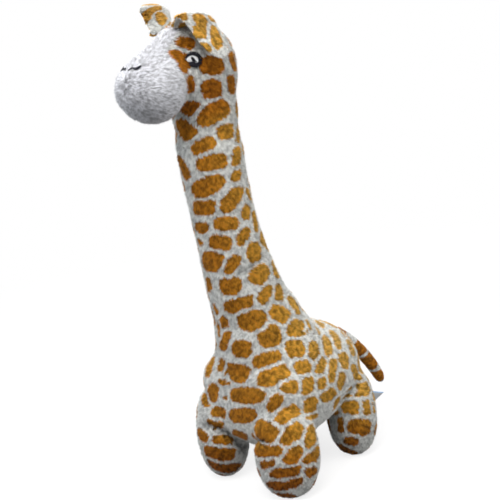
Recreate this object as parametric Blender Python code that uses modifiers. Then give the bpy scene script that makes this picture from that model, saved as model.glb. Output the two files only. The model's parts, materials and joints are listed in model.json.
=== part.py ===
"""Plush giraffe, standing: sewn covers over a fibre filling.

Metres, +Z up, the face towards -Y and the giraffe's left towards +X. Each cover is a shell that is
open where it is sewn to its neighbour, and the filling is a solid of its own inside it.
"""

import math

import bmesh
import bpy
from mathutils import Matrix, Vector
from mathutils.bvhtree import BVHTree

MM = 0.001

# Cloth and fit
COVER = 2.0 * MM  # backing cloth with its pile pressed down
GAP = 0.3 * MM  # clearance between two pieces that meet
OVERRUN = 20 * MM  # how far a cutter reaches past what it cuts
FINE_OVERRUN = 3 * MM  # the same on small trim

# Torso: a barrel along Y. Stations: along, rise of the middle line, half width, half depth
TORSO_LENGTH = 116 * MM
TORSO_WIDTH = 97 * MM
TORSO_DEPTH = 87.5 * MM
TORSO_HEIGHT = 68 * MM
TORSO_FRONT = -49 * MM
TORSO_SHARES = (
    (0.00, -0.02, 0.00, 0.00),
    (0.05, -0.03, 0.62, 0.66),
    (0.19, -0.02, 0.94, 0.97),
    (0.38, 0.01, 1.00, 1.00),
    (0.60, 0.02, 0.92, 0.93),
    (0.82, 0.03, 0.83, 0.75),
    (0.96, 0.05, 0.50, 0.44),
    (1.00, 0.05, 0.00, 0.00),
)

# Neck: stations from the pivot to the head: along, shift of the middle line, half width, half depth
NECK_WIDTH = 61 * MM  # across its foot
NECK_PIVOT_Y = -13 * MM
NECK_PIVOT_HEIGHT = 117 * MM
NECK_TOP_Y = -37.5 * MM
NECK_TOP_HEIGHT = 271 * MM
NECK_BOW = 7.5 * MM  # how far the middle line bows forwards
NECK_SHARES = (
    (-0.14, -0.3, 0.00, 0.00),
    (0.02, 0.15, 0.99, 0.99),
    (0.20, 0.80, 0.86, 0.87),
    (0.45, 1.00, 0.71, 0.72),
    (0.72, 0.95, 0.70, 0.71),
    (1.02, 0.10, 0.78, 0.78),
    (1.10, 0.00, 0.00, 0.00),
)
NECK_BALL = 31 * MM  # radius of the round foot that turns in the shoulders
NECK_BEND = math.radians(10)

# Shoulders: the torso's collar round the neck. Stations: up to the pivot, half width, half depth
SHOULDER_WIDTH = 92 * MM
SHOULDER_LENGTH = 73 * MM
SHOULDER_SHARES = (
    (0.44, 0.00, 0.00),
    (0.56, 0.90, 0.90),
    (0.74, 0.98, 1.00),
    (0.90, 0.80, 0.97),
    (1.04, 0.66, 0.90),
    (1.12, 0.00, 0.00),
)

# Head: a hood over the neck's end. Stations: up, shift of the middle line, half width, half depth
HEAD_WIDTH = 48.5 * MM
HEAD_HEIGHT = 58 * MM  # from the pivot to the crown
HEAD_LENGTH = 70 * MM
HEAD_SHARES = (
    (-0.18, 0.00, 0.00, 0.00),
    (0.10, 0.00, 0.96, 0.67),
    (0.40, -0.04, 1.01, 0.84),
    (0.64, -0.06, 0.98, 0.86),
    (0.83, -0.07, 0.84, 0.70),
    (0.95, -0.08, 0.56, 0.43),
    (1.00, -0.07, 0.00, 0.00),
)
HEAD_BALL = 22.3 * MM
HEAD_NOD = math.radians(12)

# Face panel: from the crown down over the muzzle. Stations: along, rise, half width, half depth
FACE_TOP_AHEAD = 5.5 * MM  # of the head's pivot
FACE_TOP_RISE = 58 * MM
FACE_CHIN_AHEAD = 59.5 * MM
FACE_CHIN_RISE = 6.5 * MM
FACE_WIDTH = 46 * MM
FACE_SHARES = (
    (0.00, 0.02, 0.00, 0.00),
    (0.09, 0.02, 0.38, 0.40),
    (0.28, 0.02, 0.56, 0.54),
    (0.47, 0.01, 0.80, 0.66),
    (0.63, -0.01, 1.00, 0.92),
    (0.79, -0.02, 1.00, 0.98),
    (0.93, -0.02, 0.68, 0.66),
    (1.00, -0.02, 0.00, 0.00),
)

# Legs: upright ovals, ending inside the torso. Stations: up, share of the oval's size
LEG_FRONT_SPREAD = 66 * MM  # between the middle lines of a pair
LEG_REAR_SPREAD = 56 * MM
LEG_FRONT_Y = -32.5 * MM
LEG_REAR_Y = 43.5 * MM
LEG_FRONT_OVAL = (49 * MM, 40 * MM)  # the longer axis turned in at the toes, and the shorter
LEG_REAR_OVAL = (40 * MM, 40 * MM)
LEG_TOE_IN = math.radians(45)
LEG_REACH = 72 * MM
SOLE_SINK = 1 * MM  # the cage's depth under the floor, half of which its smoothing draws up
LEG_SHARES = (
    (0.00, 0.00),
    (0.03, 0.50),
    (0.18, 0.85),
    (0.42, 1.00),
    (0.84, 0.84),
    (1.00, 0.00),
)

# Ears: two layers of cloth, sewn at the edge. Stations: along, half width, half thickness
EAR_LENGTH = 44.5 * MM
EAR_WIDTH = 28 * MM
EAR_THICKNESS = 4.6 * MM
EAR_ROOT_ROLL = 4 * MM  # across its rounded root, about which it turns
EAR_AHEAD = 15.5 * MM  # of the head's pivot
EAR_RISE = 35 * MM  # over the pivot, from where its root is found, out and up
EAR_LEFT_ROOT_ANGLE = math.radians(72)  # over the level, as seen from the front
EAR_RIGHT_ROOT_ANGLE = math.radians(50)
EAR_LEFT_SWEEP = 1 * MM  # how far the tip lies behind the root
EAR_RIGHT_SWEEP = 24 * MM
EAR_LEFT_HURRY = 2.8  # how early it turns over
EAR_RIGHT_HURRY = 2
EAR_SHARES = (
    (-0.06, 0.00, 0.00),
    (0.02, 0.66, 0.90),
    (0.22, 0.94, 1.00),
    (0.50, 1.00, 1.00),
    (0.78, 0.88, 0.88),
    (0.95, 0.50, 0.60),
    (1.00, 0.00, 0.00),
)
EAR_LEFT_ANGLES = (math.radians(98), math.radians(-78))  # its run at the root and at the tip
EAR_RIGHT_ANGLES = (math.radians(60), math.radians(9))

# Tail: a narrow sewn tube that arches back from the rump. Stations: along, half thickness
TAIL_LENGTH = 75 * MM
TAIL_THICKNESS = 10 * MM
TAIL_ROOT_BALL = 9 * MM  # across its rounded root, about which it turns
TAIL_LEVEL = 66 * MM  # height from which its root is found, back and up
TAIL_Y = 30 * MM
TAIL_ROOT_ANGLE = math.radians(26)
TAIL_ANGLES = (math.radians(-35), math.radians(-65))  # its run at the root and at the tip
TAIL_SHARES = (
    (-0.07, 0.00),
    (-0.03, 0.80),
    (0.10, 1.00),
    (0.40, 1.00),
    (0.70, 0.96),
    (0.93, 0.88),
    (0.99, 0.48),
    (1.00, 0.00),
)

# Sewn label, blank, in the seam at the back of the left rear leg
LABEL_LENGTH = 33 * MM
LABEL_WIDTH = 16 * MM
LABEL_THICKNESS = 0.5 * MM
LABEL_LEVEL = 45 * MM
LABEL_HEADING = math.radians(128)  # of its root round the leg, from +X
LABEL_RUN = (0.22, 0.82, -0.53)  # directions, without length
LABEL_ACROSS = (-0.70, -0.18, -0.69)

# Embroidery: satin stitch, laid on the cloth
STITCH = 0.8 * MM
EYE_WIDTH = 11 * MM
EYE_HEIGHT = 10.4 * MM
EYE_RING = 1.7 * MM
PUPIL = 5 * MM
EYE_AHEAD = 22.5 * MM  # of the head's pivot
EYE_RISE = 36.5 * MM
EYE_TURN = math.radians(24)  # of its facing, from +X towards the front
PUPIL_SHIFT_SHARES = (0.24, -0.16)  # of the eye's width and height, back and down
NOSTRIL_LENGTH = 5.4 * MM
NOSTRIL_THREAD = 1.1 * MM
NOSTRIL_SPREAD = 14 * MM
NOSTRIL_RISE = 37 * MM  # over the head's pivot
NOSTRIL_SLANT = math.radians(30)

# Fineness
RING_POINTS = 6
BARREL_POINTS = 8
BALL_SIDES = (16, 8)  # around its poles, and from pole to pole
ROOT_SIDES = (10, 6)
ROUND_SIDES = 20
SMOOTHING = 1
SEAT_SHARES = (-1, -0.5, 0.5, 1)  # where a wide seat is probed

GOLD = (0.60, 0.33, 0.06, 1.0)
CREAM = (0.80, 0.79, 0.74, 1.0)
WHITE = (0.88, 0.88, 0.90, 1.0)
BLACK = (0.02, 0.02, 0.025, 1.0)
LABEL_WHITE = (0.86, 0.90, 0.95, 1.0)
FIBRE = (0.93, 0.93, 0.92, 1.0)

ACROSS = Vector((1, 0, 0))
BACK = Vector((0, 1, 0))
UP = Vector((0, 0, 1))


def new_collection(name):
    collection = bpy.data.collections.new(name)
    bpy.context.scene.collection.children.link(collection)
    return collection


for old in list(bpy.data.objects):
    bpy.data.objects.remove(old, do_unlink=True)
PIECES = new_collection("plush_giraffe")
CUTTERS = new_collection("cutters")


def material(name, colour, roughness=0.95):
    made = bpy.data.materials.new(name)
    made.use_nodes = True
    shader = made.node_tree.nodes["Principled BSDF"]
    shader.inputs["Base Color"].default_value = colour
    shader.inputs["Roughness"].default_value = roughness
    shader.inputs["Metallic"].default_value = 0.0
    return made


def add_object(name, mesh, collection, origin=None):
    """An object whose mesh is given in world places and whose origin is put at the given point."""
    made = bpy.data.objects.new(name, mesh)
    collection.objects.link(made)
    if origin is not None:
        mesh.transform(Matrix.Translation(-origin))
        made.location = origin
    if collection is CUTTERS:
        made.hide_render = True
        made.display_type = "WIRE"
    return made


def empty(name, place, parent=None):
    made = bpy.data.objects.new(name, None)
    PIECES.objects.link(made)
    made.location = place
    if parent is not None:
        hold(made, parent)
    return made


def hold(thing, parent):
    """Parents a thing and leaves it where it is."""
    bpy.context.view_layer.update()
    thing.parent = parent
    thing.matrix_parent_inverse = parent.matrix_world.inverted()


def bm_to_mesh(name, bm):
    mesh = bpy.data.meshes.new(name)
    bm.to_mesh(mesh)
    bm.free()
    mesh.shade_smooth()
    return mesh


def swelling_form(name, stations, around, across, inset, collection, origin=None):
    """A closed form of rings along a middle line, smoothed by subdivision, with flat faces.

    Each station is (centre, half across, half through); the first and last are its poles. The inset
    draws the whole surface in, or out where it is negative. Smoothing draws a ring's corners in by
    the cosine of half its step, so the rings are made that much wider.
    """
    widen = 1 / math.cos(math.pi / around)
    centres = [centre for centre, _, _ in stations]
    last = len(stations) - 1
    bm = bmesh.new()
    bmesh.ops.create_uvsphere(bm, u_segments=around, v_segments=last, radius=1)
    for vert in bm.verts:
        row = round(math.acos(max(-1, min(1, vert.co.z))) * last / math.pi)
        angle = math.atan2(vert.co.y, vert.co.x)
        before = centres[max(row - 1, 0)]
        after = centres[min(row + 1, last)]
        along = (after - before).normalized()
        through = across.cross(along).normalized()
        centre, half_across, half_through = stations[row]
        vert.co = centre
        if 0 < row < last:
            vert.co += across * half_across * widen * math.cos(angle)
            vert.co += through * half_through * widen * math.sin(angle)
    bm.normal_update()
    bmesh.ops.recalc_face_normals(bm, faces=bm.faces)
    bm.normal_update()
    drawn = [(vert, vert.co - vert.normal * inset * widen) for vert in bm.verts]
    for vert, place in drawn:
        vert.co = place
    made = add_object(name, bm_to_mesh(name, bm), collection, origin)
    smooth = made.modifiers.new("smooth", "SUBSURF")
    smooth.levels = SMOOTHING
    smooth.render_levels = SMOOTHING
    made.modifiers.new("flat_faces", "TRIANGULATE")
    return made


def ball(name, centre, radius, sides=BALL_SIDES):
    """A facetted ball whose poles lie across the giraffe, on the axis that it turns about."""
    bm = bmesh.new()
    bmesh.ops.create_uvsphere(bm, u_segments=sides[0], v_segments=sides[1], radius=radius)
    turn = Matrix.Rotation(math.pi / 2, 4, BACK)
    bmesh.ops.transform(bm, matrix=Matrix.Translation(centre) @ turn, verts=bm.verts)
    return add_object(name, bm_to_mesh(name, bm), CUTTERS)


def cup_radius(ball_radius):
    """A facetted cup's size: its flats, not only its corners, clear the ball as it turns."""
    return (ball_radius + GAP) / math.cos(math.pi / BALL_SIDES[0])


def rod(name, start, along, length, wide, high=None, collection=CUTTERS, sides=ROUND_SIDES):
    """A round or oval rod from its start along a direction; its height lies towards +Z."""
    bm = bmesh.new()
    bmesh.ops.create_cone(
        bm, cap_ends=True, segments=sides, radius1=wide / 2, radius2=wide / 2, depth=length
    )
    bmesh.ops.scale(bm, vec=(1, (high or wide) / wide, 1), verts=bm.verts)
    side = (UP if abs(along.z) < math.sqrt(0.5) else BACK).cross(along).normalized()
    turn = Matrix((side, along.cross(side), along)).transposed().to_4x4()
    middle = start + along * (length / 2)
    bmesh.ops.transform(bm, matrix=Matrix.Translation(middle) @ turn, verts=bm.verts)
    return add_object(name, bm_to_mesh(name, bm), collection)


def boolean(body, other, operation):
    step = body.modifiers.new(operation.lower(), "BOOLEAN")
    step.operation = operation
    step.solver = "EXACT"
    step.object = other


def join(body, *others):
    for other in others:
        boolean(body, other, "UNION")


def cut(body, *others):
    for other in others:
        boolean(body, other, "DIFFERENCE")


def keep_inside(body, other):
    boolean(body, other, "INTERSECT")


def surface_of(thing):
    depsgraph = bpy.context.evaluated_depsgraph_get()
    depsgraph.update()
    return BVHTree.FromObject(thing, depsgraph)


def seat_on(thing, start, direction, flat_in, half=0.0):
    """The place where a line from inside leaves a form made at the origin, and its outward normal
    without the share along the given axis. A seat that reaches to both sides along that axis is
    raised to the highest place under it."""
    surface = surface_of(thing)
    place, normal, _, _ = surface.ray_cast(start, direction.normalized())
    normal = (normal - flat_in * normal.dot(flat_in)).normalized()
    rise = 0.0
    for share in SEAT_SHARES:
        beside, _, _, _ = surface.ray_cast(start + flat_in * half * share, direction.normalized())
        if beside is not None:
            rise = max(rise, (beside - place).dot(normal))
    return place + normal * rise, normal


def torso_form(name, inset, collection=CUTTERS):
    stations = []
    for along, rise, wide, deep in TORSO_SHARES:
        centre = Vector((0, TORSO_FRONT + along * TORSO_LENGTH, TORSO_HEIGHT + rise * TORSO_DEPTH))
        stations.append((centre, wide * TORSO_WIDTH / 2, deep * TORSO_DEPTH / 2))
    return swelling_form(name, stations, BARREL_POINTS, ACROSS, inset, collection)


NECK_PIVOT = Vector((0, NECK_PIVOT_Y, NECK_PIVOT_HEIGHT))
HEAD_PIVOT = Vector((0, NECK_TOP_Y, NECK_TOP_HEIGHT))
NECK_LINE = HEAD_PIVOT - NECK_PIVOT
NECK_FORWARD = ACROSS.cross(NECK_LINE).normalized()


def neck_place(along, shift):
    return NECK_PIVOT + NECK_LINE * along + NECK_FORWARD * shift * NECK_BOW


NECK_FOOT_RUN = (neck_place(NECK_SHARES[3][0], NECK_SHARES[3][1]) - NECK_PIVOT).normalized()


def neck_form(name, inset, collection=CUTTERS, origin=None):
    stations = []
    for along, shift, wide, deep in NECK_SHARES:
        centre = neck_place(along, shift)
        stations.append((centre, wide * NECK_WIDTH / 2, deep * NECK_WIDTH / 2))
    return swelling_form(name, stations, RING_POINTS, ACROSS, inset, collection, origin)


def shoulder_form(name, inset):
    stations = []
    for up, wide, deep in SHOULDER_SHARES:
        centre = NECK_PIVOT + NECK_FOOT_RUN * (up - 1) * NECK_PIVOT_HEIGHT
        stations.append((centre, wide * SHOULDER_WIDTH / 2, deep * SHOULDER_LENGTH / 2))
    return swelling_form(name, stations, BARREL_POINTS, ACROSS, inset, CUTTERS)


def head_form(name, inset, collection=CUTTERS, origin=None):
    stations = []
    for up, shift, wide, deep in HEAD_SHARES:
        centre = HEAD_PIVOT + UP * up * HEAD_HEIGHT + BACK * shift * HEAD_LENGTH
        stations.append((centre, wide * HEAD_WIDTH / 2, deep * HEAD_LENGTH / 2))
    return swelling_form(name, stations, BARREL_POINTS, ACROSS, inset, collection, origin)


def face_form(name, inset, collection=CUTTERS, origin=None):
    top = HEAD_PIVOT - BACK * FACE_TOP_AHEAD + UP * FACE_TOP_RISE
    run = HEAD_PIVOT - BACK * FACE_CHIN_AHEAD + UP * FACE_CHIN_RISE - top
    out = run.cross(ACROSS).normalized()
    stations = []
    for along, rise, wide, deep in FACE_SHARES:
        centre = top + run * along + out * rise * FACE_WIDTH
        stations.append((centre, wide * FACE_WIDTH / 2, deep * FACE_WIDTH / 2))
    return swelling_form(name, stations, BARREL_POINTS, ACROSS, inset, collection, origin)


def leg_form(name, leg, inset, collection=CUTTERS):
    x, y, (longer, shorter) = LEGS[leg]
    foot = Vector((x, y, -SOLE_SINK))
    axis = Vector((math.copysign(math.cos(LEG_TOE_IN), x), math.sin(LEG_TOE_IN), 0))
    stations = []
    for up, share in LEG_SHARES:
        centre = foot + UP * up * (LEG_REACH + SOLE_SINK)
        stations.append((centre, share * longer / 2, share * shorter / 2))
    return swelling_form(name, stations, RING_POINTS, axis, inset, collection)


def curled_line(root, outward, angles, length, shares, sweep=0.0, hurry=1):
    """Places along a line that turns from its first angle to its last, early where hurry is over 1."""
    steps = 40
    places = [Vector(root)]
    for step in range(steps):
        done = 1 - (1 - (step + 0.5) / steps) ** hurry
        turned = angles[0] + (angles[1] - angles[0]) * done
        run = outward * math.cos(turned) + UP * math.sin(turned)
        places.append(places[-1] + run * length / steps)
    found = []
    for share in shares:
        index = min(max(share, 0), 1) * steps
        low = min(int(index), steps - 1)
        place = places[low].lerp(places[low + 1], index - low)
        if share < 0:
            first = outward * math.cos(angles[0]) + UP * math.sin(angles[0])
            place = places[0] + first * share * length
        found.append(place + BACK * sweep * max(share, 0))
    return found


ROOT = empty("giraffe", Vector((0, 0, 0)))
LEGS = {
    "front_left": (LEG_FRONT_SPREAD / 2, LEG_FRONT_Y, LEG_FRONT_OVAL),
    "front_right": (-LEG_FRONT_SPREAD / 2, LEG_FRONT_Y, LEG_FRONT_OVAL),
    "rear_left": (LEG_REAR_SPREAD / 2, LEG_REAR_Y, LEG_REAR_OVAL),
    "rear_right": (-LEG_REAR_SPREAD / 2, LEG_REAR_Y, LEG_REAR_OVAL),
}
LINING = COVER + GAP  # from a cover's outside to the filling

torso_outer = torso_form("torso_outer", 0)
torso_grown = torso_form("torso_grown", -GAP)
torso_inner = torso_form("torso_inner", COVER)
shoulder_outer = shoulder_form("shoulder_outer", 0)
shoulder_inner = shoulder_form("shoulder_inner", COVER)
shoulder_filling = shoulder_form("shoulder_filling", LINING)
leg_inners = {}
leg_fillings = []
for leg in LEGS:
    leg_inners[leg] = leg_form("leg_inner_" + leg, leg, COVER)
    leg_fillings.append(leg_form("leg_filling_" + leg, leg, LINING))

# The neck's round foot turns in the shoulders' cup, whose rim it clears when it leans
neck_cup = ball("neck_cup", NECK_PIVOT, cup_radius(NECK_BALL))
NECK_RIM_DROP = SHOULDER_LENGTH / 2 * math.sin(NECK_BEND) + GAP
shoulder_rim = rod(
    "shoulder_rim",
    NECK_PIVOT - NECK_FOOT_RUN * NECK_RIM_DROP,
    NECK_FOOT_RUN,
    NECK_BALL + OVERRUN,
    SHOULDER_WIDTH + OVERRUN,
)


def make_torso():
    cover = torso_form("torso_cover", 0, PIECES)
    join(cover, shoulder_outer)
    cut(cover, torso_inner, shoulder_inner, neck_cup, shoulder_rim, *leg_inners.values())
    cover.data.materials.append(material("torso cloth", GOLD))
    filling = torso_form("torso_filling", LINING, PIECES)
    join(filling, shoulder_filling, *leg_fillings)
    cut(filling, neck_cup, shoulder_rim)
    filling.data.materials.append(material("torso fibre", FIBRE))
    for thing in (cover, filling):
        hold(thing, ROOT)


def make_legs():
    floor = rod("floor", UP * -OVERRUN, UP, OVERRUN, TORSO_LENGTH * 3)
    for leg in LEGS:
        cover = leg_form("leg_cover_" + leg, leg, 0, PIECES)
        cut(cover, leg_inners[leg], torso_grown, floor)
        cover.data.materials.append(material("leg cloth " + leg, GOLD))
        hold(cover, ROOT)


def make_neck():
    pivot = empty("neck_bend", NECK_PIVOT, ROOT)
    head_cup = ball("head_cup", HEAD_PIVOT, cup_radius(HEAD_BALL))
    drop = NECK_SHARES[-2][2] * NECK_WIDTH / 2 * math.sin(HEAD_NOD) + GAP
    rim = rod("neck_rim", HEAD_PIVOT - UP * drop, UP, HEAD_BALL + OVERRUN, NECK_WIDTH + OVERRUN)
    foot = ball("neck_foot", NECK_PIVOT, NECK_BALL)
    foot_inner = ball("neck_foot_inner", NECK_PIVOT, NECK_BALL - COVER)
    foot_filling = ball("neck_foot_filling", NECK_PIVOT, NECK_BALL - LINING)
    inner = neck_form("neck_inner", COVER)
    opening = rod(
        "neck_opening", NECK_PIVOT, -NECK_FOOT_RUN, NECK_BALL + OVERRUN, NECK_BALL
    )
    cover = neck_form("neck_cover", 0, PIECES, NECK_PIVOT)
    join(cover, foot)
    cut(cover, inner, foot_inner, head_cup, rim, opening)
    cover.data.materials.append(material("neck cloth", GOLD))
    filling = neck_form("neck_filling", LINING, PIECES, NECK_PIVOT)
    join(filling, foot_filling)
    cut(filling, head_cup, rim)
    filling.data.materials.append(material("neck fibre", FIBRE))
    for thing in (cover, filling):
        hold(thing, pivot)
    return pivot


def make_head(neck):
    pivot = empty("head_nod", HEAD_PIVOT, neck)
    foot = ball("head_foot", HEAD_PIVOT, HEAD_BALL)
    foot_grown = ball("head_foot_grown", HEAD_PIVOT, cup_radius(HEAD_BALL))
    foot_inner = ball("head_foot_inner", HEAD_PIVOT, HEAD_BALL - COVER)
    foot_filling = ball("head_foot_filling", HEAD_PIVOT, HEAD_BALL - LINING)
    inner = head_form("head_inner", COVER)
    grown = head_form("head_grown", -GAP)
    face_inner = face_form("face_inner", COVER)
    face_filling = face_form("face_filling", LINING)
    opening = rod("head_opening", HEAD_PIVOT, -UP, HEAD_BALL + OVERRUN, HEAD_BALL)

    hood = head_form("head_cover", 0, PIECES, HEAD_PIVOT)
    join(hood, foot)
    cut(hood, inner, foot_inner, face_inner, opening)
    hood.data.materials.append(material("head cloth", GOLD))

    panel = face_form("face_panel", 0, PIECES, HEAD_PIVOT)
    cut(panel, face_inner, grown, foot_grown)
    panel.data.materials.append(material("face cloth", WHITE))

    filling = head_form("head_filling", LINING, PIECES, HEAD_PIVOT)
    join(filling, foot_filling, face_filling)
    filling.data.materials.append(material("head fibre", FIBRE))
    for thing in (hood, panel, filling):
        hold(thing, pivot)
    return pivot


def stitched(name, shape, body_form, colour, parent, *clear_of):
    """Satin stitch: the part of a raised copy of the cloth's surface that lies in the shape."""
    raised = body_form(name + "_raised", -GAP - STITCH)
    under = body_form(name + "_under", -GAP)
    keep_inside(shape, raised)
    cut(shape, under, *clear_of)
    shape.data.materials.append(material(name + " thread", colour))
    hold(shape, parent)


def make_eyes(head):
    face_clear = face_form("face_clear", -GAP)
    for side, name in ((1, "left"), (-1, "right")):
        facing = Vector((side * math.cos(EYE_TURN), -math.sin(EYE_TURN), 0))
        backwards = Vector((side * math.sin(EYE_TURN), math.cos(EYE_TURN), 0))
        start = HEAD_PIVOT + UP * EYE_RISE
        start += BACK * (HEAD_WIDTH / 2 * math.tan(EYE_TURN) - EYE_AHEAD)
        back, down = PUPIL_SHIFT_SHARES
        pupil_start = start + backwards * back * EYE_WIDTH + UP * down * EYE_HEIGHT
        reach = HEAD_WIDTH
        beyond = facing * FINE_OVERRUN
        longer = reach + 2 * FINE_OVERRUN
        hole = rod(
            "eye_hole_" + name, start - beyond, facing, longer,
            EYE_WIDTH - 2 * EYE_RING, EYE_HEIGHT - 2 * EYE_RING,
        )
        pupil = rod(
            "pupil_" + name, pupil_start + beyond, facing, reach - 2 * FINE_OVERRUN, PUPIL
        )
        pupil_clear = rod(
            "pupil_clear_" + name, pupil_start - beyond, facing, longer, PUPIL + 2 * GAP
        )
        black = rod("eye_black_" + name, start, facing, reach, EYE_WIDTH, EYE_HEIGHT, PIECES)
        cut(black, hole)
        join(black, pupil)
        stitched(black.name, black, head_form, BLACK, head, face_clear)
        white = rod(
            "eye_white_" + name, start, facing, reach,
            EYE_WIDTH - 2 * EYE_RING - 2 * GAP, EYE_HEIGHT - 2 * EYE_RING - 2 * GAP, PIECES,
        )
        cut(white, pupil_clear)
        stitched(white.name, white, head_form, WHITE, head, face_clear)


def make_nostrils(head):
    for side, name in ((1, "left"), (-1, "right")):
        middle = HEAD_PIVOT + ACROSS * side * NOSTRIL_SPREAD / 2
        middle += UP * NOSTRIL_RISE - BACK * FACE_CHIN_AHEAD
        along = Vector((side * math.cos(NOSTRIL_SLANT), 0, math.sin(NOSTRIL_SLANT)))
        facing = Vector((0, -math.sqrt(0.5), math.sqrt(0.5)))
        start = middle - facing * FACE_WIDTH / 4
        bm = bmesh.new()
        bmesh.ops.create_cube(bm, size=1)
        bmesh.ops.scale(bm, vec=(NOSTRIL_LENGTH, NOSTRIL_THREAD, FACE_WIDTH), verts=bm.verts)
        run = (along - facing * along.dot(facing)).normalized()
        turn = Matrix((run, facing.cross(run), facing)).transposed().to_4x4()
        place = Matrix.Translation(start + facing * FACE_WIDTH / 2) @ turn
        bmesh.ops.transform(bm, matrix=place, verts=bm.verts)
        thread = add_object("nostril_" + name, bm_to_mesh("nostril", bm), PIECES)
        stitched(thread.name, thread, face_form, BLACK, head)


def make_ears(head):
    probe = head_form("head_probe", 0)
    ears = (
        (1, "left", EAR_LEFT_ROOT_ANGLE, EAR_LEFT_ANGLES, EAR_LEFT_SWEEP, EAR_LEFT_HURRY),
        (-1, "right", EAR_RIGHT_ROOT_ANGLE, EAR_RIGHT_ANGLES, EAR_RIGHT_SWEEP, EAR_RIGHT_HURRY),
    )
    shares = [share for share, _, _ in EAR_SHARES]
    roll_length = EAR_WIDTH * EAR_SHARES[1][1]
    for side, name, root_angle, angles, sweep, hurry in ears:
        out = ACROSS * side
        start = HEAD_PIVOT + UP * EAR_RISE - BACK * EAR_AHEAD
        aim = out * math.cos(root_angle) + UP * math.sin(root_angle)
        place, normal = seat_on(probe, start, aim, BACK, roll_length / 2)
        root = place + normal * (EAR_ROOT_ROLL / 2 + GAP)
        middle = curled_line(root, out, angles, EAR_LENGTH, shares, sweep, hurry)
        stations = []
        for centre, (_, wide, thick) in zip(middle, EAR_SHARES):
            stations.append((centre, wide * EAR_WIDTH / 2, thick * EAR_THICKNESS / 2))
        ear = swelling_form("ear_" + name, stations, RING_POINTS, BACK, 0, PIECES, root)
        roll = rod(
            "ear_roll_" + name, root - BACK * roll_length / 2, BACK, roll_length, EAR_ROOT_ROLL,
            sides=ROOT_SIDES[0],
        )
        join(ear, roll)
        ear.data.materials.append(material("ear cloth " + name, GOLD))
        hold(ear, head)


def make_tail():
    probe = torso_form("torso_probe", 0)
    start = Vector((0, TAIL_Y, TAIL_LEVEL))
    aim = BACK * math.cos(TAIL_ROOT_ANGLE) + UP * math.sin(TAIL_ROOT_ANGLE)
    place, normal = seat_on(probe, start, aim, ACROSS)
    root = place + normal * (TAIL_ROOT_BALL / 2 + GAP)
    shares = [share for share, _ in TAIL_SHARES]
    middle = curled_line(root, BACK, TAIL_ANGLES, TAIL_LENGTH, shares)
    stations = []
    for centre, (_, thick) in zip(middle, TAIL_SHARES):
        stations.append((centre, thick * TAIL_THICKNESS / 2, thick * TAIL_THICKNESS / 2))
    tail = swelling_form("tail", stations, RING_POINTS, ACROSS, 0, PIECES, root)
    join(tail, ball("tail_root", root, TAIL_ROOT_BALL / 2, ROOT_SIDES))
    tail.data.materials.append(material("tail cloth", GOLD))
    hold(tail, ROOT)


def make_label():
    x, y, _ = LEGS["rear_left"]
    probe = leg_form("leg_probe", "rear_left", 0)
    heading = Vector((math.cos(LABEL_HEADING), math.sin(LABEL_HEADING), 0))
    start = Vector((x, y, LABEL_LEVEL))
    place, normal = seat_on(probe, start, heading, UP)
    run = Vector(LABEL_RUN).normalized()
    wide = Vector(LABEL_ACROSS)
    wide = (wide - run * wide.dot(run)).normalized()
    root = place + normal * GAP * 2
    bm = bmesh.new()
    bmesh.ops.create_cube(bm, size=1)
    bmesh.ops.scale(bm, vec=(LABEL_LENGTH, LABEL_WIDTH, LABEL_THICKNESS), verts=bm.verts)
    turn = Matrix((run, wide, run.cross(wide))).transposed().to_4x4()
    middle = root + run * LABEL_LENGTH / 2 + wide * LABEL_WIDTH / 2
    bmesh.ops.transform(bm, matrix=Matrix.Translation(middle) @ turn, verts=bm.verts)
    label = add_object("label", bm_to_mesh("label", bm), PIECES, root)
    label.data.materials.append(material("label ribbon", LABEL_WHITE, 0.6))
    hold(label, ROOT)


def centre_on_footprint():
    """Moves the whole giraffe so that the middle of its outer box stands over the origin."""
    depsgraph = bpy.context.evaluated_depsgraph_get()
    depsgraph.update()
    low = high = 0.0
    for piece in PIECES.objects:
        if piece.type != "MESH":
            continue
        shape = piece.evaluated_get(depsgraph)
        for corner in shape.bound_box:
            y = (shape.matrix_world @ Vector(corner)).y
            low = min(low, y)
            high = max(high, y)
    shift = Vector((0, -(low + high) / 2, 0))
    for thing in [ROOT, *CUTTERS.objects]:
        thing.location += shift
    bpy.context.view_layer.update()


make_torso()
make_legs()
neck = make_neck()
head = make_head(neck)
make_eyes(head)
make_nostrils(head)
make_ears(head)
make_tail()
make_label()
centre_on_footprint()
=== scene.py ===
"""The looks of the plush giraffe: stuffed skins with real standing pile, embroidered eyes and a label.

Metres, +Z up, the face towards -Y and the giraffe's left towards +X, as in the frame.
"""

import json
import math
from functools import partial

import bmesh
import bpy
import numpy as np
from mathutils import Matrix, Vector
from mathutils.bvhtree import BVHTree


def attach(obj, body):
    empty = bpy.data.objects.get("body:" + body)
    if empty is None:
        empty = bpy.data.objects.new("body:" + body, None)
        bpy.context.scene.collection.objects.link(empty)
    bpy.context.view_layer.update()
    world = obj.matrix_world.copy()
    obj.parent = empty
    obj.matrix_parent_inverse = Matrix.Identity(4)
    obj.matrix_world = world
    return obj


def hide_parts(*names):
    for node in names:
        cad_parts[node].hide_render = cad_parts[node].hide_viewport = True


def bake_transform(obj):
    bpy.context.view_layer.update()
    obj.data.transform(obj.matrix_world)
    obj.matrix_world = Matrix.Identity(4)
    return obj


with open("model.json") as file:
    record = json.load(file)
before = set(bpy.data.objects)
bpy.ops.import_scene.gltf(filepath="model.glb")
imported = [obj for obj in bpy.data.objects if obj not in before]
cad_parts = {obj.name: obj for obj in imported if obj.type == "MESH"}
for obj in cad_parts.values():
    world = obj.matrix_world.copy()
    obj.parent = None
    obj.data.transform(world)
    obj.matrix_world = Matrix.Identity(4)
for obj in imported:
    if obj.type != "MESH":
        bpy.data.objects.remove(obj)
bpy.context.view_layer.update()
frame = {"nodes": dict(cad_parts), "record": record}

MM = 0.001

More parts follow.
